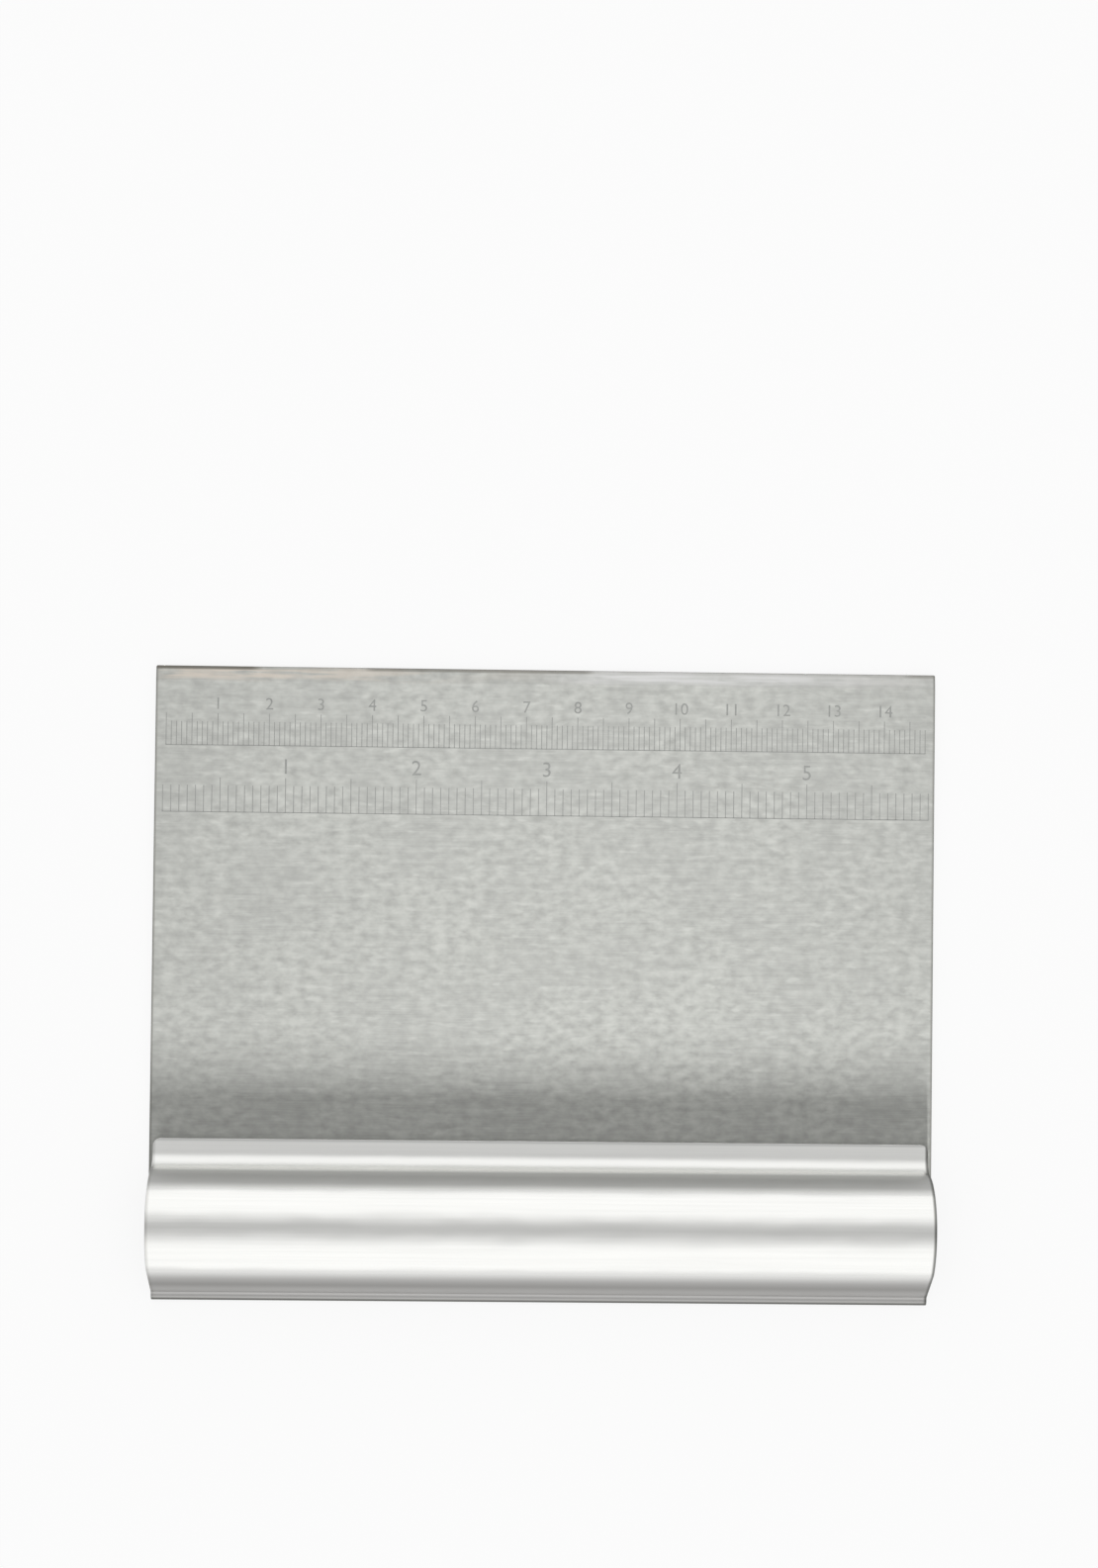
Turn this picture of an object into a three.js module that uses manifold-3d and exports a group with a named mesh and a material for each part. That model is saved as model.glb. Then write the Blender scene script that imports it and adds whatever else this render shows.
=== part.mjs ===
// Pastry scraper: a flat steel blade clamped and spot-welded between the two lips of a folded, hollow grip.
//
// Millimetres, +Z up. The scraper lies on its back: X runs along the cutting edge, Y from the palm edge of
// the grip to the cutting edge, and Z up from the back of the grip. The origin lies under the middle of the
// scraper, on the surface that it rests on.

import * as THREE from "three";
import { mergeVertices } from "three/addons/utils/BufferGeometryUtils.js";
import Module from "manifold-3d";

// Blade
const BLADE_WIDTH = 152;
const BLADE_EXPOSED = 91.6; // from the grip's lip to the cutting edge
const BLADE_TAIL = 7.5; // from the grip's lip down to the hidden end
const BLADE_SHEET = 1.0;
const BLADE_CORNER_RADIUS = 0.3;
const EDGE_TAPER = 2.8; // height of the band that is ground thinner on both sides
const EDGE_LAND = 0.4; // thickness left at the cutting edge

// Grip, one folded sheet
const GRIP_INSET = 0.75; // how far each end stays inside the end of the blade
const GRIP_HEIGHT = 14.2; // from the back to the top of the crest
const GRIP_SHEET = 0.7;
const LIP_WIDTH = 2.7; // flat that lies on the front of the blade
const LIP_CORNER_RADIUS = 1.5;
const LIP_BEND_RADIUS = 2.8; // hollow bend between lip and wall
const WALL_ANGLE = 76.5; // degrees, the steep side that faces the blade
const WALL_FLAT = 2.1;
const PALM_RADIUS = 12.4; // the crest's wider round towards the palm
const PALM_ANGLE = 43; // degrees, the slope where that round ends
const KNUCKLE_RADIUS = 2.5; // tighter bend from that round into the facet
const FACET_ANGLE = 57.5; // degrees, the slope under the palm
const FOOT_BEND_RADIUS = 0.8; // hollow bend between facet and hem
const HEM_FLAT = 0.1;
const HEM_BEND_RADIUS = 0.3; // inside the fold at the palm edge

// Spot welds, each through lip, blade and lip
const WELD_COUNT = 6;
const WELD_END_DISTANCE = 5.25; // from the end of the lip to the middle of the outermost weld
const WELD_LAND = 0.4; // flat lip left beside each weld
const WELD_COVER = 0.35; // sheet of each lip left over each weld
const WELD_CLEARANCE = 0.1; // round each weld

// Fineness
const BEND_STEP = 6; // degrees of a bend per facet
const CORNER_SEGMENTS = 8;
const WELD_SIDES = 24;
const OVERSHOOT = 1; // how far a cutting tool runs past the sheet that it cuts

// Layers of the lap, from the back up: back lip, blade, front lip
const BLADE_BACK = GRIP_SHEET;
const BLADE_FRONT = BLADE_BACK + BLADE_SHEET;
const LIP_TOP = BLADE_FRONT + GRIP_SHEET;
const GRIP_LENGTH = BLADE_WIDTH - 2 * GRIP_INSET;

// The crest's front is one round bend, as large as fits over wall and lip under the grip's height.
// On the palm's side the flat facet takes what the bends leave of that height.
const sine = (degrees) => Math.sin(THREE.MathUtils.degToRad(degrees));
const cosine = (degrees) => Math.cos(THREE.MathUtils.degToRad(degrees));
const HEM_TOP = 2 * (GRIP_SHEET + HEM_BEND_RADIUS);
const CREST_RADIUS =
  (GRIP_HEIGHT - LIP_TOP - WALL_FLAT * sine(WALL_ANGLE)) / (1 - cosine(WALL_ANGLE)) - LIP_BEND_RADIUS;
const PALM_BENDS_RISE =
  PALM_RADIUS * (1 - cosine(PALM_ANGLE)) +
  KNUCKLE_RADIUS * (cosine(PALM_ANGLE) - cosine(FACET_ANGLE)) +
  FOOT_BEND_RADIUS * (1 - cosine(FACET_ANGLE));
const FACET_FLAT = (GRIP_HEIGHT - HEM_TOP - PALM_BENDS_RISE) / sine(FACET_ANGLE);

// Places along Y, from the palm edge
const HEM_END = GRIP_SHEET + HEM_BEND_RADIUS;
const PALM_RUN =
  PALM_RADIUS * sine(PALM_ANGLE) +
  KNUCKLE_RADIUS * (sine(FACET_ANGLE) - sine(PALM_ANGLE)) +
  FACET_FLAT * cosine(FACET_ANGLE) +
  FOOT_BEND_RADIUS * sine(FACET_ANGLE);
const WALL_RUN = WALL_FLAT * cosine(WALL_ANGLE) + (CREST_RADIUS + LIP_BEND_RADIUS) * sine(WALL_ANGLE);
const LIP_START = HEM_END + HEM_FLAT + PALM_RUN + WALL_RUN;
const LIP_EDGE = LIP_START + LIP_WIDTH;
const CUTTING_EDGE = LIP_EDGE + BLADE_EXPOSED;

const wasm = await Module();
wasm.setup();

// A closed geometry as a solid that can be joined and cut.
function solidOf(geometry) {
  geometry.deleteAttribute("normal");
  geometry.deleteAttribute("uv");
  const merged = mergeVertices(geometry);
  return new wasm.Manifold(
    new wasm.Mesh({
      numProp: 3,
      vertProperties: merged.attributes.position.array,
      triVerts: new Uint32Array(merged.index.array),
    }),
  );
}

// A solid as a flat-shaded mesh.
function meshOf(name, solid, material) {
  const { vertProperties, triVerts } = solid.getMesh();
  const shared = new THREE.BufferGeometry();
  shared.setAttribute("position", new THREE.BufferAttribute(vertProperties, 3));
  shared.setIndex(new THREE.BufferAttribute(triVerts, 1));
  const geometry = shared.toNonIndexed();
  geometry.computeVertexNormals();
  const mesh = new THREE.Mesh(geometry, material);
  mesh.name = name;
  return mesh;
}

// A side profile, drawn in Y and Z, carried along X over a length centred on X = 0.
function carriedAlongX(profile, length) {
  const geometry = new THREE.ExtrudeGeometry(profile, { depth: length, bevelEnabled: false });
  geometry.translate(0, 0, -length / 2);
  const x = new THREE.Vector3(1, 0, 0);
  const y = new THREE.Vector3(0, 1, 0);
  const z = new THREE.Vector3(0, 0, 1);
  geometry.applyMatrix4(new THREE.Matrix4().makeBasis(y, z, x));
  return solidOf(geometry);
}

// A plan outline with round corners, centred on X = 0, as a tool that is taller than any sheet here.
function cornerTool(width, bottom, top, radius) {
  const right = width / 2 - radius;
  const outline = new THREE.Shape()
    .absarc(right, bottom + radius, radius, -Math.PI / 2, 0)
    .absarc(right, top - radius, radius, 0, Math.PI / 2)
    .absarc(-right, top - radius, radius, Math.PI / 2, Math.PI)
    .absarc(-right, bottom + radius, radius, Math.PI, 1.5 * Math.PI);
  const geometry = new THREE.ExtrudeGeometry(outline, {
    depth: GRIP_HEIGHT + 2 * OVERSHOOT,
    bevelEnabled: false,
    curveSegments: CORNER_SEGMENTS,
  });
  geometry.translate(0, 0, -OVERSHOOT);
  return solidOf(geometry);
}

// The side profile of one sheet, folded step by step along its middle from a start point and a heading.
// A flat has a length. A bend turns by degrees, to the left if positive, round an inside radius.
function foldedSheet(sheet, start, heading, steps) {
  const left = [];
  const right = [];
  const point = start.clone();
  let angle = heading;
  const walk = (length) => point.add(new THREE.Vector2(cosine(angle), sine(angle)).multiplyScalar(length));
  const mark = () => {
    const toLeft = new THREE.Vector2(-sine(angle), cosine(angle)).multiplyScalar(sheet / 2);
    left.push(point.clone().add(toLeft));
    right.push(point.clone().sub(toLeft));
  };
  mark();
  for (const { flat, turn, inside } of steps) {
    if (flat !== undefined) {
      walk(flat);
      mark();
      continue;
    }
    const facets = Math.ceil(Math.abs(turn) / BEND_STEP);
    const halfTurn = turn / facets / 2;
    const chord = 2 * (inside + sheet / 2) * sine(Math.abs(halfTurn));
    for (let i = 0; i < facets; i++) {
      angle += halfTurn;
      walk(chord);
      angle += halfTurn;
      mark();
    }
  }
  return new THREE.Shape([...left, ...right.reverse()]);
}

// A weld at its place along the lap, widened by a clearance when it is the tool that makes its seat.
function weldGeometry(index, clearance) {
  const radius = LIP_WIDTH / 2 - WELD_LAND + clearance;
  const geometry = new THREE.CylinderGeometry(radius, radius, LIP_TOP - 2 * WELD_COVER, WELD_SIDES);
  geometry.rotateX(Math.PI / 2);
  const outermost = GRIP_LENGTH / 2 - WELD_END_DISTANCE;
  const alongLap = THREE.MathUtils.lerp(-outermost, outermost, index / (WELD_COUNT - 1));
  return geometry.translate(alongLap, LIP_START + LIP_WIDTH / 2, LIP_TOP / 2);
}

const welds = Array.from({ length: WELD_COUNT }, (_, index) => index);

// The seats of all welds, cut out of a sheet.
function withWeldSeats(solid) {
  return welds.reduce((cut, index) => cut.subtract(solidOf(weldGeometry(index, WELD_CLEARANCE))), solid);
}

// The blade: a flat sheet, ground thinner towards the cutting edge from both sides.
function makeBlade() {
  const material = new THREE.MeshStandardMaterial({ color: 0xb6b6b0, roughness: 0.42, metalness: 1 });
  const tail = LIP_EDGE - BLADE_TAIL;
  const taperStart = CUTTING_EDGE - EDGE_TAPER;
  const ground = (BLADE_SHEET - EDGE_LAND) / 2;
  const profile = new THREE.Shape()
    .moveTo(tail, BLADE_BACK)
    .lineTo(taperStart, BLADE_BACK)
    .lineTo(CUTTING_EDGE, BLADE_BACK + ground)
    .lineTo(CUTTING_EDGE, BLADE_FRONT - ground)
    .lineTo(taperStart, BLADE_FRONT)
    .lineTo(tail, BLADE_FRONT);
  const corners = cornerTool(BLADE_WIDTH, tail, CUTTING_EDGE, BLADE_CORNER_RADIUS);
  const sheet = carriedAlongX(profile, BLADE_WIDTH).intersect(corners);
  return meshOf("blade", withWeldSeats(sheet), material);
}

// The grip: one sheet, from the back lip round the hem, up the facet and over the crest to the front lip.
function makeGrip() {
  const material = new THREE.MeshStandardMaterial({ color: 0xcfcfca, roughness: 0.2, metalness: 1 });
  const backLipEdge = new THREE.Vector2(LIP_EDGE, GRIP_SHEET / 2);
  const towardsPalm = 180;
  const foldedBack = -180;
  const profile = foldedSheet(GRIP_SHEET, backLipEdge, towardsPalm, [
    { flat: LIP_EDGE - HEM_END },
    { turn: foldedBack, inside: HEM_BEND_RADIUS },
    { flat: HEM_FLAT },
    { turn: FACET_ANGLE, inside: FOOT_BEND_RADIUS },
    { flat: FACET_FLAT },
    { turn: PALM_ANGLE - FACET_ANGLE, inside: KNUCKLE_RADIUS - GRIP_SHEET },
    { turn: -PALM_ANGLE, inside: PALM_RADIUS - GRIP_SHEET },
    { turn: -WALL_ANGLE, inside: CREST_RADIUS - GRIP_SHEET },
    { flat: WALL_FLAT },
    { turn: WALL_ANGLE, inside: LIP_BEND_RADIUS },
    { flat: LIP_WIDTH },
  ]);
  const belowPalm = -LIP_CORNER_RADIUS - OVERSHOOT;
  const corners = cornerTool(GRIP_LENGTH, belowPalm, LIP_EDGE, LIP_CORNER_RADIUS);
  const sheet = carriedAlongX(profile, GRIP_LENGTH).intersect(corners);
  return meshOf("grip", withWeldSeats(sheet), material);
}

// One spot weld.
function makeWeld(index) {
  const material = new THREE.MeshStandardMaterial({ color: 0x9d9b96, roughness: 0.55, metalness: 1 });
  const mesh = new THREE.Mesh(weldGeometry(index, 0), material);
  mesh.name = `spot_weld_${index + 1}`;
  return mesh;
}

// The pieces share one group that puts the middle of the scraper over the origin.
const pieces = new THREE.Group();
pieces.position.y = -CUTTING_EDGE / 2;
pieces.add(makeBlade(), makeGrip(), ...welds.map(makeWeld));

const scraper = new THREE.Group();
scraper.name = "pastry_scraper";
scraper.add(pieces);

export default scraper;
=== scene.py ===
"""Looks of a pastry scraper: brushed blade, polished folded grip, etched ruler and hidden spot welds.

Metres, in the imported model's frame: X along the cutting edge, Y from the palm edge to the cutting edge,
Z up from the back of the grip. The blade, the grip and the two ruler scales are new meshes worked out with
numpy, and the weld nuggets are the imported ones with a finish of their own.
"""

import logging
import math
from dataclasses import dataclass
from enum import Enum, IntEnum
from functools import reduce
from typing import Any, NamedTuple

import bmesh
import bpy
import numpy as np
from mathutils import Matrix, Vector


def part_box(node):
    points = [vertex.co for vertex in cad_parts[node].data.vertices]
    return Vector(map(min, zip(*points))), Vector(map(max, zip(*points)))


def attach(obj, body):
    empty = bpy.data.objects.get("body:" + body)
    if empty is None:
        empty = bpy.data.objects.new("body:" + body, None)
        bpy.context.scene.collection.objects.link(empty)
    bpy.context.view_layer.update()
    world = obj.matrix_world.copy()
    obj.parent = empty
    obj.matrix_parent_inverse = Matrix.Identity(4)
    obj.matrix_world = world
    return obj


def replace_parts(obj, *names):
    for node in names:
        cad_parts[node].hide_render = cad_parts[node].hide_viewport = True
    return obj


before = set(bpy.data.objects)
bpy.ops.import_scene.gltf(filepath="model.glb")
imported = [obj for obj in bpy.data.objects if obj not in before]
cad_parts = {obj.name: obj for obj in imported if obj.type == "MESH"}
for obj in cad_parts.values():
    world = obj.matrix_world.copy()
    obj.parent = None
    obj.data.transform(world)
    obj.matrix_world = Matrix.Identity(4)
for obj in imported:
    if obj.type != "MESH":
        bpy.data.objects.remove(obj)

log = logging.getLogger("pastry_scraper")

MM = 0.001
SHEET_UV = "sheet"
QUARTER_TURN = 0.25
WHITE = (1.0, 1.0, 1.0)

# Numbers of a Mix node's sockets when it mixes colours
MIX_SHARE, MIX_FIRST, MIX_SECOND, MIX_RESULT = 0, 6, 7, 2

Colour = tuple[float, float, float]
Triple = tuple[float, float, float]
Span = tuple[float, float]
Ramp = tuple[float, float, float, float]
Socket = bpy.types.NodeSocket
Node = bpy.types.Node
Material = bpy.types.Material
Mesh = bpy.types.Mesh
Piece = bpy.types.Object


def paint(colour: Colour | Socket) -> tuple[float, ...] | Socket:
    """A colour as the four numbers of a colour socket, fully opaque, and a socket as it is."""
    return (*colour, 1.0) if isinstance(colour, tuple) else colour


@dataclass
class NodeBoard:
    """A node tree with short ways to add nodes and wire them."""

    tree: bpy.types.NodeTree

    def __post_init__(self) -> None:
        """Clears out the nodes that a new tree starts with."""
        self.tree.nodes.clear()

    def add(self, kind: str, wires: dict[str | int, Any] | None = None, **settings: Any) -> Node:
        """Adds a node.

        Args:
            kind: The node's type name.
            wires: Values or output sockets for its inputs, by input name or number.
            settings: Properties of the node itself.

        Returns:
            The new node.
        """
        node = self.tree.nodes.new(kind)
        for name, value in settings.items():
            setattr(node, name, value)
        for name, value in (wires or {}).items():
            if isinstance(value, Socket):
                self.tree.links.new(value, node.inputs[name])
            else:
                node.inputs[name].default_value = value
        return node

    def show(self, shader: Node, kind: str = "ShaderNodeOutputMaterial") -> None:
        """Makes a shader the tree's surface."""
        self.add(kind, {"Surface": shader.outputs[0]})

    def math(self, operation: str, first: Any, second: Any = 0.0) -> Socket:
        """The result of a Math node on two values or sockets."""
        return self.add("ShaderNodeMath", {0: first, 1: second}, operation=operation).outputs[0]

    def product(self, *factors: Any) -> Socket:
        """The product of two or more values or sockets."""
        return reduce(lambda first, second: self.math("MULTIPLY", first, second), factors)

    def between(self, share: Any, first: Any, second: Any) -> Socket:
        """A value between two, nearer the second by its share."""
        return self.math("ADD", first, self.product(share, self.math("SUBTRACT", second, first)))

    def ramp(self, value: Any, start: float, end: float, low: float, high: float) -> Socket:
        """A value carried smoothly from low at start to high at end, and held outside."""
        wires = {"Value": value, "From Min": start, "From Max": end, "To Min": low, "To Max": high}
        return self.add("ShaderNodeMapRange", wires, interpolation_type="SMOOTHSTEP").outputs[0]

    def window(self, value: Any, span: Span, fades: Span) -> Socket:
        """A mask that is 1 within a span and 0 outside, with a smooth fade inside each end."""
        begun = self.ramp(value, span[0], span[0] + fades[0], 0.0, 1.0)
        return self.product(begun, self.ramp(value, span[1] - fades[1], span[1], 1.0, 0.0))

    def scaled(self, vector: Any, factors: Any) -> Socket:
        """A vector with each coordinate multiplied by its own factor."""
        return self.add("ShaderNodeVectorMath", {0: vector, 1: factors}, operation="MULTIPLY").outputs[0]

    def noise(self, place: Socket, pitch: Any, detail: float, roughness: float = 0.5) -> Socket:
        """A noise from 0 to 1, its pitch in waves per metre along each coordinate of the place."""
        wires = {"Vector": self.scaled(place, pitch), "Scale": 1.0, "Detail": detail}
        return self.add("ShaderNodeTexNoise", {**wires, "Roughness": roughness}).outputs[0]

    def blend(self, share: Any, first: Any, second: Any) -> Socket:
        """A mix of two colours or colour sockets, the second by its share."""
        wires = {MIX_SHARE: share, MIX_FIRST: paint(first), MIX_SECOND: paint(second)}
        return self.add("ShaderNodeMix", wires, data_type="RGBA").outputs[MIX_RESULT]


class SurfaceEffect:
    """A shader node group that several finishes share, built once."""

    name = ""
    inputs: tuple[str, ...] = ()
    outputs: tuple[str, ...] = ()

    @classmethod
    def group(cls) -> bpy.types.NodeTree:
        """The effect's node group, made at its first use.

        Returns:
            The group's tree.
        """
        found = bpy.data.node_groups.get(cls.name)
        if found:
            return found
        tree = bpy.data.node_groups.new(cls.name, "ShaderNodeTree")
        tree.interface.new_socket("Vector", in_out="INPUT", socket_type="NodeSocketVector")
        for name in cls.inputs:
            tree.interface.new_socket(name, in_out="INPUT", socket_type="NodeSocketFloat")
        for name in cls.outputs:
            tree.interface.new_socket(name, in_out="OUTPUT", socket_type="NodeSocketFloat")
        board = NodeBoard(tree)
        board.add("NodeGroupOutput", cls.wire(board, board.add("NodeGroupInput")))
        return tree

    @classmethod
    def wire(cls, board: NodeBoard, source: Node) -> dict[str, Socket]:
        """Makes the group's nodes from its input node, and gives a socket for each name in outputs."""
        raise NotImplementedError

    @classmethod
    def place(cls, board: NodeBoard, vector: Socket, **values: float) -> Node:
        """The group as a node of a material, with coordinates in metres and values for its other inputs."""
        wires = {name.replace("_", " ").title(): value for name, value in values.items()}
        return board.add("ShaderNodeGroup", {"Vector": vector, **wires}, node_tree=cls.group())


class BrushedGrain(SurfaceEffect):
    """Grinding lines, fine over broad, drawn out along the first coordinate, with short dabs, and glints as
    painted highlights.
    """

    name = "Brushed Grain"
    inputs = ("Along", "Across")
    outputs = ("Fine Lines", "Broad Lines", "Dabs", "Glints")
    broad_share: Triple = (0.45, 0.2, 1.0)
    dab_pitch: Triple = (420.0, 600.0, 1.0)
    glint_pitch: Triple = (260.0, 850.0, 1.0)
    glint_peaks: Span = (0.58, 0.72)

    @classmethod
    def wire(cls, board: NodeBoard, source: Node) -> dict[str, Socket]:
        """Noises of different pitch: the broad lines' is a share of the fine ones', and glints are peaks.

        Args:
            board: The group's tree.
            source: The group's input node.

        Returns:
            The fine lines, the broad lines, the dabs and the sparse glints, each from 0 to 1.
        """
        place, along, across = (source.outputs[name] for name in ("Vector", "Along", "Across"))
        pitch = board.add("ShaderNodeCombineXYZ", {0: along, 1: across, 2: 1.0}).outputs[0]
        glints = board.noise(place, cls.glint_pitch, 1.0)
        return {
            "Fine Lines": board.noise(place, pitch, 2.0, 0.6),
            "Broad Lines": board.noise(place, board.scaled(pitch, cls.broad_share), 3.0, 0.65),
            "Dabs": board.noise(place, cls.dab_pitch, 2.0),
            "Glints": board.ramp(glints, *cls.glint_peaks, 0.0, 1.0),
        }


class HandlingMarks(SurfaceEffect):
    """What use leaves on bare steel: soft smudges and a few stray hairline scratches."""

    name = "Handling Marks"
    inputs = ("Scratch Turn",)
    outputs = ("Smudges", "Scratches")
    smudge_pitch: Triple = (50.0, 50.0, 50.0)
    smudge_edges: Span = (0.3, 0.7)
    scratch_pitch: Triple = (22.0, 2600.0, 1.0)
    scratch_peaks: Span = (0.72, 0.78)

    @classmethod
    def wire(cls, board: NodeBoard, source: Node) -> dict[str, Socket]:
        """Cloudy noise for smudges; for scratches, the rare peaks of a noise drawn out along a turned line.

        Args:
            board: The group's tree.
            source: The group's input node.

        Returns:
            The smudges and the scratches, each from 0 to 1.
        """
        place, turn = source.outputs["Vector"], source.outputs["Scratch Turn"]
        wires = {"Vector": place, "Angle": turn}
        turned = board.add("ShaderNodeVectorRotate", wires, rotation_type="Z_AXIS")
        cloud = board.noise(place, cls.smudge_pitch, 3.0, 0.55)
        hair = board.noise(turned.outputs[0], cls.scratch_pitch, 1.0)
        return {
            "Smudges": board.ramp(cloud, *cls.smudge_edges, 0.0, 1.0),
            "Scratches": board.ramp(hair, *cls.scratch_peaks, 0.0, 1.0),
        }


@dataclass(frozen=True)
class SteelFinish:
    """A bare steel surface: its two tones, its gloss and the run of its grain.

    Dabs, clouds and glints say how much of each shows; the glints are painted highlights in the tone. The
    wobble is the depth of the sheet's waves.
    """

    name: str
    tone: Colour
    dark_tone: Colour
    roughness: Span
    anisotropy: float
    grain_along: float
    grain_across: float
    line_depth: float
    broad_share: float = 0.6
    scratch_turn: float = 0.3
    scratch_depth: float = 0.5
    scratch_gloss: float = 0.06
    dabs: float = 0.0
    dab_swing: Span = (0.7, 1.3)
    clouds: float = 0.0
    glints: float = 0.0
    tone_span: Span = (0.2, 0.8)
    wobble: float = 0.0
    wave_pitch: Triple = (90.0, 150.0, 1.0)

    def material(self) -> Material:
        """The finish as a material: grain and handling marks drive its tone, gloss and relief.

        Returns:
            The new material.
        """
        material = bpy.data.materials.new(self.name)
        material.use_nodes = True
        board = NodeBoard(material.node_tree)
        place = self.coordinates(board)
        grain = BrushedGrain.place(board, place, along=self.grain_along, across=self.grain_across)
        marks = HandlingMarks.place(board, place, scratch_turn=self.scratch_turn)
        fine, broad, dabs, glints = grain.outputs
        smudges, scratches = marks.outputs
        lines = board.between(self.broad_share, fine, broad)
        fewest, most = (self.dabs * swing for swing in self.dab_swing)
        pattern = board.between(board.ramp(smudges, 0.0, 1.0, fewest, most), lines, dabs)
        pattern = board.between(self.clouds, pattern, smudges)
        # Painted highlights: the glints brighten the tone in sparse spots
        pattern = board.math("ADD", pattern, board.product(glints, self.glints))
        tone = board.blend(board.ramp(pattern, *self.tone_span, 0.0, 1.0), self.dark_tone, self.tone)
        gloss = board.ramp(smudges, 0.0, 1.0, *self.roughness)
        gloss = board.math("ADD", gloss, board.product(scratches, self.scratch_gloss))
        wires = {
            "Base Color": self.tinted(board, place, tone),
            "Metallic": 1.0,
            "Roughness": self.dulled(board, place, gloss),
            "Normal": self.relief(board, place, lines, scratches),
        }
        if self.anisotropy > 0.0:
            tangent = board.add("ShaderNodeTangent", direction_type="UV_MAP", uv_map=SHEET_UV)
            wires["Tangent"] = tangent.outputs[0]
            wires["Anisotropic"] = self.anisotropy
            wires["Anisotropic Rotation"] = QUARTER_TURN
        board.show(board.add("ShaderNodeBsdfPrincipled", wires))
        return material

    def relief(self, board: NodeBoard, place: Socket, lines: Socket, scratches: Socket) -> Socket:
        """Lines and scratches as a normal, on the waves of the sheet if it has any.

        Args:
            board: The material's tree.
            place: Where the pattern lies.
            lines: The grinding lines.
            scratches: The scratches.

        Returns:
            The normal's socket.
        """
        height = board.math("SUBTRACT", lines, board.product(scratches, self.scratch_depth))
        wires = {"Strength": 1.0, "Distance": self.line_depth, "Height": height}
        if self.wobble > 0.0:
            waves = {"Distance": self.wobble, "Height": board.noise(place, self.wave_pitch, 1.0)}
            wires["Normal"] = board.add("ShaderNodeBump", waves).outputs[0]
        return board.add("ShaderNodeBump", wires).outputs[0]

    def coordinates(self, board: NodeBoard) -> Socket:
        """Where the pattern lies: the piece's own frame."""
        return board.add("ShaderNodeTexCoord").outputs["Object"]

    def tinted(self, board: NodeBoard, place: Socket, tone: Socket) -> Socket:
        """The tone with whatever tint this finish adds, here none."""
        return tone

    def dulled(self, board: NodeBoard, place: Socket, gloss: Socket) -> Socket:
        """The roughness with whatever dulling this finish adds, here none."""
        return gloss


@dataclass(frozen=True)
class BladeFinish(SteelFinish):
    """Brushed blade steel with painted shade along its cut sides, a ground band and dark stretches along the
    edge.

    The band is warm in streaks on the left and pale on the right. Band and dark lines fade out over a span
    counted inwards from the edge or the side. A dark stretch is its start, its end and its strength.
    """

    edge: float = 0.0
    half_width: float = 0.0
    band: float = 2.8 * MM
    band_shares: Span = (0.6, 1.15)
    streak_pitch: Triple = (70.0, 900.0, 1.0)
    warm_tint: Colour = (0.66, 0.6, 0.535)
    warm_streaks: Ramp = (0.4, 0.6, 0.0, 1.0)
    warm_along: Ramp = (-65.0 * MM, 0.0, 0.75, 0.1)
    pale_tint: Colour = (0.64, 0.64, 0.635)
    pale_streaks: Ramp = (0.4, 0.6, 0.5, 1.0)
    pale_rise: Ramp = (-5.0 * MM, 12.0 * MM, 0.0, 1.0)
    pale_fall: float = 35.0 * MM
    pale_end: float = 0.35
    side_tint: Colour = (0.31, 0.31, 0.29)
    side_line: Span = (0.21 * MM, 0.56 * MM)
    side_strength: float = 0.8
    edge_tint: Colour = (0.22, 0.21, 0.185)
    edge_line: Span = (0.42 * MM, 0.84 * MM)
    edge_strength: float = 0.2
    dark_stretches: tuple[Triple, ...] = (
        (-80.0 * MM, -54.0 * MM, 1.0),
        (-37.0 * MM, 11.0 * MM, 0.65),
        (68.0 * MM, 80.0 * MM, 0.5),
    )
    stretch_fade: float = 4.0 * MM

    def tinted(self, board: NodeBoard, place: Socket, tone: Socket) -> Socket:
        """The tone, tinted in streaks along the ground band, with painted shade at the sides, and darkened
        along the edge.

        Args:
            board: The material's tree.
            place: Object coordinates.
            tone: The plain tone.

        Returns:
            The tinted tone.
        """
        along, across = board.add("ShaderNodeSeparateXYZ", {0: place}).outputs[:2]
        from_edge = board.math("SUBTRACT", self.edge, across)
        from_side = board.math("SUBTRACT", self.half_width, board.math("ABSOLUTE", along))
        streaks = board.noise(place, self.streak_pitch, 2.0)
        inner, outer = (share * self.band for share in self.band_shares)
        in_band = board.ramp(from_edge, inner, outer, 1.0, 0.0)
        warm = board.product(board.ramp(streaks, *self.warm_streaks), board.ramp(along, *self.warm_along))
        tone = board.blend(board.product(warm, in_band), tone, self.warm_tint)
        pale = board.product(board.ramp(streaks, *self.pale_streaks), board.ramp(along, *self.pale_rise))
        fall = board.ramp(along, self.pale_fall, self.half_width, 1.0, self.pale_end)
        tone = board.blend(board.product(pale, fall, in_band), tone, self.pale_tint)
        # Painted shade: a dark line along the cut sides, standing for their shading
        at_side = board.ramp(from_side, *self.side_line, self.side_strength, 0.0)
        tone = board.blend(at_side, tone, self.side_tint)
        at_edge = board.ramp(from_edge, *self.edge_line, 1.0, 0.0)
        return board.blend(board.product(at_edge, self.darkness(board, along)), tone, self.edge_tint)

    def darkness(self, board: NodeBoard, along: Socket) -> Socket:
        """How dark the cutting edge is along its length.

        Args:
            board: The material's tree.
            along: X of the place.

        Returns:
            Each dark stretch's own strength, and a little in between.
        """
        level: Any = self.edge_strength
        for start, end, strength in self.dark_stretches:
            within = board.window(along, (start, end), (self.stretch_fade, self.stretch_fade))
            level = board.math("MAXIMUM", level, board.product(within, strength))
        return level


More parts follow.
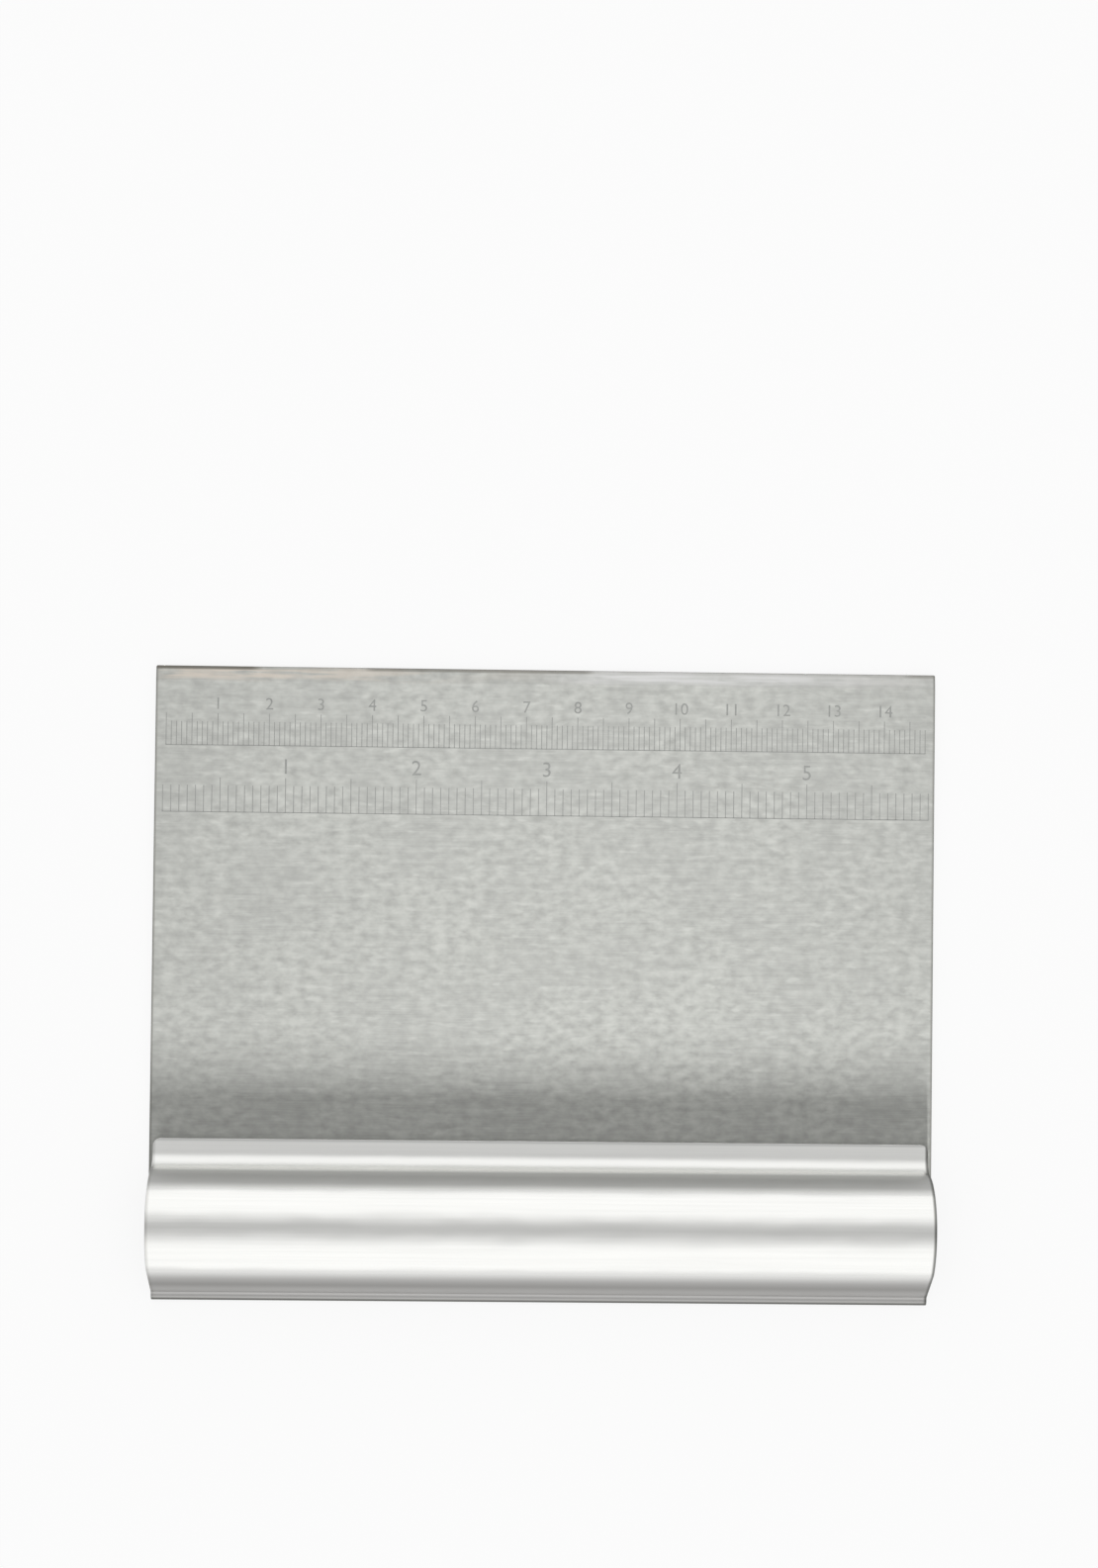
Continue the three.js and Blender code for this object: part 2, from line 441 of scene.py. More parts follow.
@dataclass(frozen=True)
class DullZone:
    """A stretch of a folded sheet that the polishing wheel reaches less; its tone, where given, is painted
    shade. It fades inside both ends.
    """

    span: Span
    fades: Span
    roughness: float
    # Painted shade: a darker colour where the fold lies in shade or mirrors shade
    tone: Colour | None = None

    def mask(self, board: NodeBoard, place: Socket) -> Socket:
        """How far the zone holds at a place on the unfolded sheet, from 0 to 1."""
        along_sheet = board.add("ShaderNodeSeparateXYZ", {0: place}).outputs[1]
        return board.window(along_sheet, self.span, self.fades)


@dataclass(frozen=True)
class GripFinish(SteelFinish):
    """Polished grip steel, duller in some zones of its folded sheet, with painted shade in those zones and
    along its cut ends.

    The dark line of painted shade, strong on the right and faint on the left, fades out over a span counted
    inwards.
    """

    zones: tuple[DullZone, ...] = ()
    half_length: float = 0.0
    end_line: Span = (0.25 * MM, 0.75 * MM)
    # Painted shade: the colour of the cut end seen in shade, laid on the outer face near each end
    end_tint: Colour = (0.14, 0.14, 0.13)
    right_strength: float = 0.9
    left_strength: float = 0.25

    def coordinates(self, board: NodeBoard) -> Socket:
        """Where the pattern lies: the unfolded sheet."""
        return board.add("ShaderNodeUVMap", uv_map=SHEET_UV).outputs[0]

    def tinted(self, board: NodeBoard, place: Socket, tone: Socket) -> Socket:
        """The tone with painted shade: greyer in the dull zones and dark at the cut ends.

        Args:
            board: The material's tree.
            place: Coordinates on the unfolded sheet.
            tone: The polished steel's tone.

        Returns:
            The tinted tone.
        """
        # Painted shade: each zone with a tone darkens the colour there
        for zone in self.zones:
            if zone.tone:
                tone = board.blend(zone.mask(board, place), tone, zone.tone)
        # Painted shade: a dark line along each cut end, strong on the right, faint on the left
        along = board.add("ShaderNodeSeparateXYZ", {0: place}).outputs[0]
        for way, strength in (("SUBTRACT", self.right_strength), ("ADD", self.left_strength)):
            from_end = board.math(way, self.half_length, along)
            tone = board.blend(board.ramp(from_end, *self.end_line, strength, 0.0), tone, self.end_tint)
        return tone

    def dulled(self, board: NodeBoard, place: Socket, gloss: Socket) -> Socket:
        """The roughness, higher in the dull zones.

        Args:
            board: The material's tree.
            place: Coordinates on the unfolded sheet.
            gloss: The polished steel's roughness.

        Returns:
            The roughness with the zones laid on.
        """
        for zone in self.zones:
            gloss = board.between(zone.mask(board, place), gloss, zone.roughness)
        return gloss


def lay_sheet_map(mesh: Mesh, sheet_map: np.ndarray) -> None:
    """Gives a mesh its UV map, along which the grain of its finish runs.

    Args:
        mesh: The mesh.
        sheet_map: For each vertex its place on the sheet, in metres.
    """
    corners = np.empty(len(mesh.loops), dtype=np.int32)
    mesh.loops.foreach_get("vertex_index", corners)
    layer = mesh.uv_layers.new(name=SHEET_UV)
    layer.data.foreach_set("uv", sheet_map[corners].astype(np.float32).ravel())


@dataclass
class SheetShell:
    """A closed sheet of metal, straight along X, with round corners at both free edges.

    Its side is given row by row from one free edge to the other, each row as the sheet's outer and inner
    point in Y and Z. The second and the last row but one stand one corner radius from the edges, and between
    them the rows run the full length. At each edge a corner point at angle t stands the share sin t of the
    way out, and radius times (1 - cos t) short of the end.
    """

    outer: np.ndarray
    inner: np.ndarray
    run: np.ndarray
    half_length: float
    corner_radius: float
    corner_steps: int = 8
    map_gap: float = 2.0 * MM

    def loop(self, rows: np.ndarray) -> np.ndarray:
        """The outline of one face of the sheet, as one closed loop of points.

        Args:
            rows: Y and Z, or any other values, of each row.

        Returns:
            For each point of the loop its X, followed by the values of its row.
        """
        turn = np.linspace(0.0, math.pi / 2, self.corner_steps + 1)[1:]
        inset = self.half_length - self.corner_radius * (1.0 - np.cos(turn))
        far = rows[-2] + np.sin(turn)[:, None] * (rows[-1] - rows[-2])
        near = rows[1] + np.sin(turn)[:, None] * (rows[0] - rows[1])
        middle = rows[1:-1]
        full = np.full(len(middle), self.half_length)
        x = np.concatenate([full, inset, -inset[::-1], -full, -inset, inset[::-1]])
        values = np.concatenate([middle, far, far[::-1], middle[::-1], near, near[::-1]])
        return np.column_stack([x, values])

    def faces(self) -> list[list[int]]:
        """The faces on both loops: strips between rows, one face at each free edge, and the rim.

        Returns:
            The vertex numbers of each face, outwards.
        """
        rows = len(self.outer) - 2
        steps = self.corner_steps
        count = 2 * rows + 4 * steps
        right = np.arange(rows)
        left = (2 * rows + 2 * steps - 1) - right
        strips = np.column_stack([right[:-1], right[1:], left[1:], left[:-1]])
        far_end = np.arange(rows - 1, rows + 2 * steps + 1)
        near_end = np.append(np.arange(2 * rows + 2 * steps - 1, count), 0)
        ring = np.arange(count)
        ahead = np.roll(ring, -1)
        rim = np.column_stack([ring, ring + count, ahead + count, ahead])
        top = [*strips.tolist(), far_end.tolist(), near_end.tolist()]
        under = [[count + i for i in reversed(face)] for face in top]
        return [*top, *under, *rim.tolist()]

    def mesh(self, name: str) -> Mesh:
        """The sheet as a mesh, with a UV map in metres: X, and the distance along the unfolded sheet.

        The inner face lies below zero on the map, so that the two faces share no place on it.

        Args:
            name: The mesh's name.

        Returns:
            The closed mesh, its faces outwards.
        """
        places = np.concatenate([self.loop(self.outer), self.loop(self.inner)])
        flat = self.loop(self.run[:, None])
        behind = flat * (1.0, -1.0) - (0.0, self.map_gap)
        mesh = bpy.data.meshes.new(name)
        mesh.from_pydata(places.tolist(), [], self.faces())
        lay_sheet_map(mesh, np.concatenate([flat, behind]))
        work = bmesh.new()
        work.from_mesh(mesh)
        bmesh.ops.recalc_face_normals(work, faces=work.faces)
        work.to_mesh(mesh)
        work.free()
        mesh.shade_smooth()
        return mesh


def shown_piece(name: str, mesh: Mesh, material: Material) -> Piece:
    """Puts a finished mesh into the scene as a piece that rides on the part.

    Args:
        name: The piece's name.
        mesh: Its mesh, in place.
        material: Its finish.

    Returns:
        The new object.
    """
    mesh.materials.append(material)
    piece = bpy.data.objects.new(name, mesh)
    bpy.context.scene.collection.objects.link(piece)
    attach(piece, "root")
    return piece


def soften_edges(piece: Piece, width: float) -> None:
    """Rounds a sheet's cut edges.

    Args:
        piece: The sheet.
        width: How far the rounding reaches from the edge.
    """
    bevel = piece.modifiers.new("deburred edges", "BEVEL")
    bevel.width = width
    bevel.segments = 3
    bevel.limit_method = "ANGLE"
    bevel.angle_limit = math.radians(35.0)
    bevel.harden_normals = True
    bevel.use_clamp_overlap = False


@dataclass
class Blade:
    """The flat blade: one sheet, thinned from both sides along the cutting edge."""

    width: float = 152.0 * MM
    sheet: float = 1.0 * MM
    corner_radius: float = 0.3 * MM
    taper: float = 2.8 * MM
    land: float = 0.4 * MM
    flat_margin: float = 0.1 * MM
    deburr: float = 0.16 * MM

    def place(self) -> Triple:
        """Y of the blade's tail, Y of its cutting edge and Z of its back, as packed."""
        low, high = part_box("blade")
        return low.y, high.y, low.z

    def front(self) -> float:
        """Z of the blade's front face."""
        return self.place()[2] + self.sheet

    def shell(self) -> SheetShell:
        """The sheet, row by row from the tail: flat, then thinned evenly from both sides over the taper.

        Returns:
            The blade's shell.
        """
        tail, edge, back = self.place()
        start = edge - self.taper
        ends = np.array([tail, tail + self.corner_radius, edge - self.corner_radius, edge])
        y = np.insert(ends, 2, [start - self.flat_margin, start, start + self.flat_margin])
        thinned = np.clip((y - start) / self.taper, 0.0, 1.0) * (self.sheet - self.land) / 2
        return SheetShell(
            outer=np.column_stack([y, back + self.sheet - thinned]),
            inner=np.column_stack([y, back + thinned]),
            run=y - tail,
            half_length=self.width / 2,
            corner_radius=self.corner_radius,
        )

    def finish(self) -> BladeFinish:
        """Brushed steel, its grain along the cutting edge."""
        return BladeFinish(
            name="brushed blade steel",
            tone=(0.575, 0.581, 0.556),
            dark_tone=(0.388, 0.392, 0.375),
            roughness=(0.74, 0.78),
            anisotropy=0.7,
            grain_along=110.0,
            grain_across=5000.0,
            line_depth=0.003 * MM,
            dabs=0.6,
            clouds=0.14,
            glints=0.09,
            edge=self.place()[1],
            half_width=self.width / 2,
            band=self.taper,
        )

    def build(self) -> Piece:
        """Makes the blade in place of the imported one.

        Returns:
            The blade.
        """
        mesh = self.shell().mesh("brushed_blade")
        piece = shown_piece("brushed_blade", mesh, self.finish().material())
        soften_edges(piece, self.deburr)
        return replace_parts(piece, "blade")


class Fold(NamedTuple):
    """One step of a folded sheet: a flat, or a turn (to the left if positive) round an inside radius."""

    flat: float = 0.0
    turn: float = 0.0
    inside: float = 0.0

    def length(self, sheet: float) -> float:
        """The step's length along the middle of a sheet of that thickness."""
        return self.flat + abs(self.turn) * (self.inside + sheet / 2)

    def run(self, heading: float, sheet: float) -> float:
        """How far the step leads along the ground, by its heading's cosine or the change of its sine."""
        bend = abs(math.sin(heading + self.turn) - math.sin(heading))
        return self.flat * math.cos(heading) + (self.inside + sheet / 2) * bend


class GripStep(IntEnum):
    """The steps of the grip's fold, by their number from the back lip's edge."""

    BACK_LIP = 0
    BACK = 1
    HEM = 2
    HEM_FLAT = 3
    FOOT = 4
    FACET = 5
    KNUCKLE = 6
    PALM = 7
    CREST = 8
    WALL = 9
    LIP_BEND = 10
    LIP = 11
    LIP_EDGE = 12


@dataclass
class FoldedGrip:
    """The hollow grip: one sheet folded from its back lip round the hem and over facet and crest."""

    length: float = 150.5 * MM
    height: float = 14.2 * MM
    sheet: float = 0.7 * MM
    blade_sheet: float = 1.0 * MM
    lip: float = 2.7 * MM
    lip_corner: float = 1.5 * MM
    lip_bend: float = 2.8 * MM
    wall_angle: float = math.radians(76.5)
    wall_flat: float = 2.1 * MM
    palm_radius: float = 12.4 * MM
    palm_angle: float = math.radians(43.0)
    knuckle_radius: float = 2.5 * MM
    facet_angle: float = math.radians(57.5)
    foot_bend: float = 0.8 * MM
    hem_flat: float = 0.1 * MM
    hem_bend: float = 0.3 * MM
    bend_step: float = math.radians(3.0)
    flat_margin: float = 0.15 * MM
    deburr: float = 0.12 * MM

    def crest_radius(self) -> float:
        """The crest's radius, as large as fits over lip, bend and wall under the grip's height.

        Returns:
            The outer radius.
        """
        lip_top = 2 * self.sheet + self.blade_sheet
        rise = self.height - lip_top - self.wall_flat * math.sin(self.wall_angle)
        return rise / (1.0 - math.cos(self.wall_angle)) - self.lip_bend

    def facet_flat(self) -> float:
        """The facet's length: what the bends between hem and top leave of the grip's height, by its sine.

        Returns:
            The length of the flat.
        """
        hem_top = 2 * (self.sheet + self.hem_bend)
        palm, facet = math.cos(self.palm_angle), math.cos(self.facet_angle)
        bends = self.palm_radius * (1.0 - palm) + self.knuckle_radius * (palm - facet)
        bends += self.foot_bend * (1.0 - facet)
        return (self.height - hem_top - bends) / math.sin(self.facet_angle)

    def steps(self) -> list[Fold]:
        """The fold from the back lip's edge to the front lip's, its back as long as the front's run.

        Returns:
            The steps, as many as GripStep names and in that order.
        """
        front = [
            Fold(flat=self.hem_flat),
            Fold(turn=self.facet_angle, inside=self.foot_bend),
            Fold(flat=self.facet_flat()),
            Fold(turn=self.palm_angle - self.facet_angle, inside=self.knuckle_radius - self.sheet),
            Fold(turn=-self.palm_angle, inside=self.palm_radius - self.sheet),
            Fold(turn=-self.wall_angle, inside=self.crest_radius() - self.sheet),
            Fold(flat=self.wall_flat),
            Fold(turn=self.wall_angle, inside=self.lip_bend),
            Fold(flat=self.lip - self.lip_corner),
            Fold(flat=self.lip_corner),
        ]
        headings = np.cumsum([0.0, *[step.turn for step in front]])
        back = sum(step.run(heading, self.sheet) for step, heading in zip(front, headings))
        return [
            Fold(flat=self.lip_corner),
            Fold(flat=back - self.lip_corner),
            Fold(turn=-math.pi, inside=self.hem_bend),
            *front,
        ]

    def walk(self, step: Fold, heading: float) -> np.ndarray:
        """One step of the fold in short straight lengths.

        A flat is cut once near each end, which keeps the shading of a bend off the flat. A bend is a row of
        equal chords: the first leans half a step, each next one a step more, and so the sheet turns.

        Args:
            step: The step.
            heading: Direction in which it starts.

        Returns:
            One row per length: its length, its direction and the sheet's direction at its end.
        """
        if step.turn == 0.0:
            inner = step.flat - 2 * self.flat_margin
            cut = [self.flat_margin, inner, self.flat_margin]
            lengths = np.array(cut if inner > self.flat_margin else [step.flat])
            return np.column_stack([lengths, np.full((len(lengths), 2), heading)])
        count = math.ceil(abs(step.turn) / self.bend_step)
        share = step.turn / count
        chord = 2 * (step.inside + self.sheet / 2) * math.sin(abs(share) / 2)
        number = np.arange(count)
        leans = heading + share * (number + 0.5)
        ends = heading + share * (number + 1.0)
        return np.column_stack([np.full(count, chord), leans, ends])

    def shell(self) -> SheetShell:
        """The sheet: its middle is the running sum of the fold's lengths, its faces half a sheet aside.

        Returns:
            The grip's shell.
        """
        steps = self.steps()
        headings = np.cumsum([math.pi, *[step.turn for step in steps]])
        parts = [self.walk(step, heading) for step, heading in zip(steps, headings)]
        parts[0] = np.array([[self.lip_corner, math.pi, math.pi]])
        parts[-1] = np.array([[self.lip_corner, headings[-1], headings[-1]]])
        lengths, leans, ends = np.concatenate(parts).T
        start = np.array([[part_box("grip")[1].y, self.sheet / 2]])
        moves = lengths[:, None] * np.column_stack([np.cos(leans), np.sin(leans)])
        middle = start + np.concatenate([np.zeros((1, 2)), np.cumsum(moves, axis=0)])
        ends = np.concatenate([[math.pi], ends])
        aside = self.sheet / 2 * np.column_stack([-np.sin(ends), np.cos(ends)])
        return SheetShell(
            outer=middle + aside,
            inner=middle - aside,
            run=np.concatenate([[0.0], np.cumsum(lengths)]),
            half_length=self.length / 2,
            corner_radius=self.lip_corner,
        )

    def stretch(self, first: GripStep, last: GripStep) -> Span:
        """Start and end of a run of steps along the unfolded sheet, from the back lip's edge."""
        ends = np.cumsum([step.length(self.sheet) for step in self.steps()])
        return float(ends[first - 1]), float(ends[last])

    def zones(self) -> tuple[DullZone, ...]:
        """The parts of the fold that stay duller: hem, facet, the crest's front with the wall, and lip. The
        zones with a tone also carry painted shade.

        Returns:
            The zones, in the order in which they are laid on.
        """
        hem_start, hem_end = self.stretch(GripStep.HEM, GripStep.HEM)
        hem_middle = (hem_start + hem_end) / 2
        facet_start, facet_end = self.stretch(GripStep.FACET, GripStep.KNUCKLE)
        wall_start, wall_end = self.stretch(GripStep.WALL, GripStep.WALL)
        lip_end = self.stretch(GripStep.LIP_BEND, GripStep.LIP_EDGE)[1]
        # The tones are painted shade: palm side and facet as if mirroring shaded floor, the wall as if
        # mirroring the blade's shaded band, lip edge and hem as if in shade
        palm_side = DullZone(
            (hem_start - 0.5 * MM, facet_end + 0.5 * MM), (1.0 * MM, 5.0 * MM),
            roughness=0.42, tone=(0.46, 0.455, 0.445),
        )
        facet = DullZone(
            (facet_start + 0.8 * MM, facet_end - 3.0 * MM), (3.0 * MM, 4.0 * MM),
            roughness=0.42, tone=(0.32, 0.315, 0.305),
        )
        fades = (0.5 * MM, 0.5 * MM)
        past_lip = lip_end + 1.0 * MM
        lip = DullZone((wall_end, past_lip), fades, roughness=0.36)
        lip_edge = DullZone((lip_end - 0.7 * MM, past_lip), fades, roughness=0.4, tone=(0.6, 0.6, 0.59))
        wall = DullZone(
            (wall_start - 6.0 * MM, wall_end + 0.4 * MM), (2.5 * MM, 2.2 * MM),
            roughness=0.5, tone=(0.5, 0.5, 0.49),
        )
        hem = DullZone(
            (hem_middle - 1.0 * MM, hem_middle + 0.85 * MM), (0.4 * MM, 0.3 * MM),
            roughness=0.45, tone=(0.17, 0.17, 0.16),
        )
        return palm_side, facet, lip, lip_edge, wall, hem

    def finish(self) -> GripFinish:
        """Polished steel with a faint grain along the grip."""
        return GripFinish(
            name="polished grip steel",
            tone=(0.86, 0.86, 0.84),
            dark_tone=(0.79, 0.79, 0.77),
            roughness=(0.17, 0.21),
            anisotropy=0.3,
            grain_along=25.0,
            grain_across=3500.0,
            line_depth=0.0006 * MM,
            scratch_turn=0.12,
            wobble=0.16 * MM,
            zones=self.zones(),
            half_length=self.length / 2,
        )

    def build(self) -> Piece:
        """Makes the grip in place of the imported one.

        Returns:
            The grip.
        """
        mesh = self.shell().mesh("polished_grip")
        piece = shown_piece("polished_grip", mesh, self.finish().material())
        soften_edges(piece, self.deburr)
        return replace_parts(piece, "grip")


class Unit(Enum):
    """What a ruler scale counts, by the length of one unit."""

    CENTIMETRE = 10.0 * MM
    INCH = 25.4 * MM


@dataclass
class RulerScale:
    """One etched scale of the blade's ruler: a base line, ticks rising from it and numerals.

    A numeral's height is a share of its type's size.
    """

    blade: Blade
    unit: Unit
    name: str
    zero: float
    base_line: float
    parts: int
    first_part: int
    last_part: int
    last_numeral: int
    short_tick: float
    long_tick: float
    numeral_line: float
    numeral_height: float
    stroke: float = 0.16 * MM
    depth: float = 0.012 * MM
    numeral_share: float = 0.7
    same_point: float = 0.0002 * MM

    def bars(self, low: np.ndarray, high: np.ndarray) -> tuple[np.ndarray, np.ndarray]:
        """Flat bars that lie half in the blade's front face.

        Args:
            low: X and Y of each bar's lower left corner.
            high: X and Y of each bar's upper right corner.

        Returns:
            The corners, eight to a bar, and the faces, six to a bar.
        """
        ring = ((0, 0), (1, 0), (1, 1), (0, 1))
        picks = np.array([[x, y, z] for z in (0, 1) for x, y in ring], dtype=bool)
        z = self.blade.front() + self.depth * np.array([-0.5, 0.5])
        low = np.column_stack([low, np.full(len(low), z[0])])
        high = np.column_stack([high, np.full(len(high), z[1])])
        corners = np.where(picks[None], high[:, None], low[:, None])
        sides = [[0, 1, 5, 4], [1, 2, 6, 5], [2, 3, 7, 6], [3, 0, 4, 7]]
        box = np.array([[3, 2, 1, 0], [4, 5, 6, 7], *sides])
        faces = box[None] + 8 * np.arange(len(low))[:, None, None]
        return corners.reshape(-1, 3), faces.reshape(-1, 4)

    def lines(self) -> Mesh:
        """The base line and the ticks, long at each whole and half unit.

        Returns:
            One mesh of flat bars.
        """
        number = np.arange(self.first_part, self.last_part + 1)
        x = self.zero + number * self.unit.value / self.parts
        is_long = number % (self.parts // 2) == 0
        rise = np.where(is_long, self.long_tick, self.short_tick)
        foot = np.full(len(x), self.base_line)
        half = self.stroke / 2
        low = np.column_stack([x - half, foot])
        high = np.column_stack([x + half, foot + rise])
        low = np.concatenate([low, [[x[0] - half, self.base_line - half]]])
        high = np.concatenate([high, [[x[-1] + half, self.base_line + half]]])
        corners, faces = self.bars(low, high)
        mesh = bpy.data.meshes.new(self.name)
        mesh.from_pydata(corners.tolist(), [], faces.tolist())
        return mesh

    def numeral(self, number: int) -> Mesh:
        """One numeral, made a mesh at the origin and then put in its place.

        Args:
            number: What it says.

        Returns:
            The numeral's mesh.
        """
        text = bpy.data.curves.new(f"{self.name}_{number}", "FONT")
        text.body = str(number)
        text.size = self.numeral_height / self.numeral_share
        text.align_x = "CENTER"
        text.align_y = "CENTER"
        text.resolution_u = 3
        text.extrude = self.depth / 2
        holder = bpy.data.objects.new(text.name, text)
        mesh = bpy.data.meshes.new_from_object(holder)
        x = self.zero + number * self.unit.value
        mesh.transform(Matrix.Translation((x, self.numeral_line, self.blade.front())))
        bpy.data.objects.remove(holder)
        return mesh

    def build(self, material: Material) -> Piece:
        """Makes the scale on the blade's front.

        Args:
            material: The etched finish.

        Returns:
            The scale.
        """
        mesh = self.lines()
        work = bmesh.new()
        work.from_mesh(mesh)
        for number in range(1, self.last_numeral + 1):
            work.from_mesh(self.numeral(number))
        bmesh.ops.remove_doubles(work, verts=work.verts, dist=self.same_point)
        work.to_mesh(mesh)
        work.free()
        places = np.empty(3 * len(mesh.vertices), dtype=np.float32)
        mesh.vertices.foreach_get("co", places)
        lay_sheet_map(mesh, places.reshape(-1, 3)[:, :2])
        return shown_piece(self.name, mesh, material)


@dataclass(frozen=True)
class Softbox:
    """A soft lamp that leans from overhead towards +Y, stands aside along X and faces the part.

    Its spread is an angle, as seen from the part, and its length lies along X.
    """

    name: str
    lean: float
    spread: float
    radiance: float
    length: float
    distance: float
    aside: float

    def build(self, lit: list[Piece]) -> Piece:
        """Hangs the lamp.

        Args:
            lit: The pieces that the lamp lights, all others being left to the room's light.

        Returns:
            The lamp.
        """
        lamp = bpy.data.lights.new(self.name, "AREA")
        lamp.shape = "RECTANGLE"
        lamp.size = self.length
        lamp.size_y = 2 * self.distance * math.tan(self.spread / 2)
        lamp.energy = self.radiance * math.pi * lamp.size * lamp.size_y
        holder = bpy.data.objects.new(self.name, lamp)
        across, up = math.sin(self.lean), math.cos(self.lean)
        holder.location = (self.aside, self.distance * across, self.distance * up)
        holder.rotation_euler = (-self.lean, 0.0, 0.0)
        holder.visible_camera = False
        pieces = bpy.data.collections.new(self.name)
        for piece in lit:
            pieces.objects.link(piece)
        holder.light_linking.receiver_collection = pieces
        bpy.context.scene.collection.objects.link(holder)
        return holder


@dataclass
class Studio:
    """The pale floor, the soft light and the camera of the photograph.

    The room has a level of light for its wall, its ceiling, the foot of the wall before the edge, its sides
    and its horizon. The spans are angles from overhead, or shares of X and Z in a direction.
    """

    floor_reach: float = 60.0
    floor_tone: Colour = (0.93, 0.93, 0.93)
    backdrop: float = 0.86
    wall: float = 1.18
    ceiling: float = 0.585
    ceiling_lean: float = math.radians(-6.0)
    ceiling_reach: float = math.radians(41.0)
    wall_foot: float = 0.68
    wall_foot_span: Span = (math.radians(72.0), math.radians(90.0))
    side: float = 0.54
    side_span: Span = (0.35, 0.8)
    horizon: float = 0.96
    horizon_span: Span = (0.02, 0.08)
    camera_place: Triple = (-12.7 * MM, 26.0 * MM, 549.2 * MM)
    camera_turn: Triple = (math.radians(1.37), math.radians(-1.41), math.radians(0.67))
    lens: float = 64.55
    sensor: float = 36.0
    nearest: float = 0.01
    key: Softbox = Softbox(
        name="palm side key",
        lean=math.radians(-65.0),
        spread=math.radians(11.0),
        radiance=408.0,
        length=0.06,
        distance=1.4,
        aside=0.07,
    )

    def floor(self) -> Piece:
        """The floor, one wide square: mostly plain white to the eye, and for the rest lit and shaded.

        Returns:
            The floor.
        """
        corners = np.array([[-1, -1, 0], [1, -1, 0], [1, 1, 0], [-1, 1, 0]]) * self.floor_reach
        mesh = bpy.data.meshes.new("floor")
        mesh.from_pydata(corners.tolist(), [], [[0, 1, 2, 3]])
        material = bpy.data.materials.new("pale floor")
        material.use_nodes = True
        board = NodeBoard(material.node_tree)
        lit = board.add("ShaderNodeBsdfDiffuse", {"Color": paint(self.floor_tone)})
        white = board.add("ShaderNodeEmission", {"Color": paint(WHITE), "Strength": 1.0})
        rays = board.add("ShaderNodeLightPath").outputs
        seen = board.math("MAXIMUM", rays["Is Camera Ray"], rays["Is Glossy Ray"])
        seen = board.math("MAXIMUM", seen, rays["Is Transmission Ray"])
        share = board.math("MULTIPLY", seen, self.backdrop)
        board.show(board.add("ShaderNodeMixShader", {0: share, 1: lit.outputs[0], 2: white.outputs[0]}))
        mesh.materials.append(material)
        piece = bpy.data.objects.new("floor", mesh)
        bpy.context.scene.collection.objects.link(piece)
        return piece

    def sky(self) -> bpy.types.World:
        """The room's own light: white walls before and behind the part, a grey ceiling and grey sides.

        A direction's angle from overhead, towards +Y, decides between ceiling and walls, its X the sides.
        The camera sees only the floor's white going on over the horizon, and metal shows it there too.

        Returns:
            The scene's world.
        """
        world = bpy.data.worlds.new("studio room")
        world.use_nodes = True
        board = NodeBoard(world.node_tree)
        way = board.add("ShaderNodeTexCoord").outputs["Generated"]
        along, across, up = board.add("ShaderNodeSeparateXYZ", {0: way}).outputs
        lean = board.math("ARCTAN2", across, up)
        off_ceiling = board.math("ABSOLUTE", board.math("SUBTRACT", lean, self.ceiling_lean))
        level = board.ramp(off_ceiling, 0.0, self.ceiling_reach, self.ceiling, self.wall)
        shade = board.ramp(lean, *self.wall_foot_span, 0.0, self.wall - self.wall_foot)
        level = board.math("SUBTRACT", level, shade)
        aside = board.ramp(board.math("ABSOLUTE", along), *self.side_span, 0.0, 1.0)
        level = board.between(aside, level, self.side)
        rays = board.add("ShaderNodeLightPath").outputs
        mirrored = board.math("MAXIMUM", rays["Is Glossy Ray"], rays["Is Transmission Ray"])
        near_floor = board.ramp(up, *self.horizon_span, self.horizon, 0.0)
        level = board.math("MAXIMUM", level, board.math("MULTIPLY", mirrored, near_floor))
        level = board.between(rays["Is Camera Ray"], level, self.horizon)
        light = board.add("ShaderNodeBackground", {"Color": paint(WHITE), "Strength": level})
        board.show(light, "ShaderNodeOutputWorld")
        bpy.context.scene.world = world
        return world

    def camera(self) -> Piece:
        """The camera, looking down on the part a little askew, as in the photograph.

        Returns:
            The scene's camera.
        """
        lens = bpy.data.cameras.new("camera")
        lens.lens = self.lens
        lens.sensor_width = self.sensor
        lens.clip_start = self.nearest
        holder = bpy.data.objects.new("camera", lens)
        holder.location = self.camera_place
        holder.rotation_euler = self.camera_turn
        bpy.context.scene.collection.objects.link(holder)
        bpy.context.scene.camera = holder
        return holder

    def build(self, brushed: list[Piece]) -> None:
        """Sets up floor, light and camera, with colours shown as they are.

        Args:
            brushed: The pieces that the key lamp rakes.
        """
        self.floor()
        self.sky()
        self.key.build(brushed)
        self.camera()
        bpy.context.scene.view_settings.view_transform = "Standard"


def etched_finish() -> SteelFinish:
    """The darker grey of etched marks, which take the light as the blade round them does."""
    return SteelFinish(
        name="etched ruler steel",
        tone=(0.4, 0.405, 0.39),
        dark_tone=(0.3, 0.305, 0.295),
        roughness=(0.76, 0.8),
        anisotropy=0.7,
        grain_along=400.0,
        grain_across=5000.0,
        line_depth=0.001 * MM,
    )


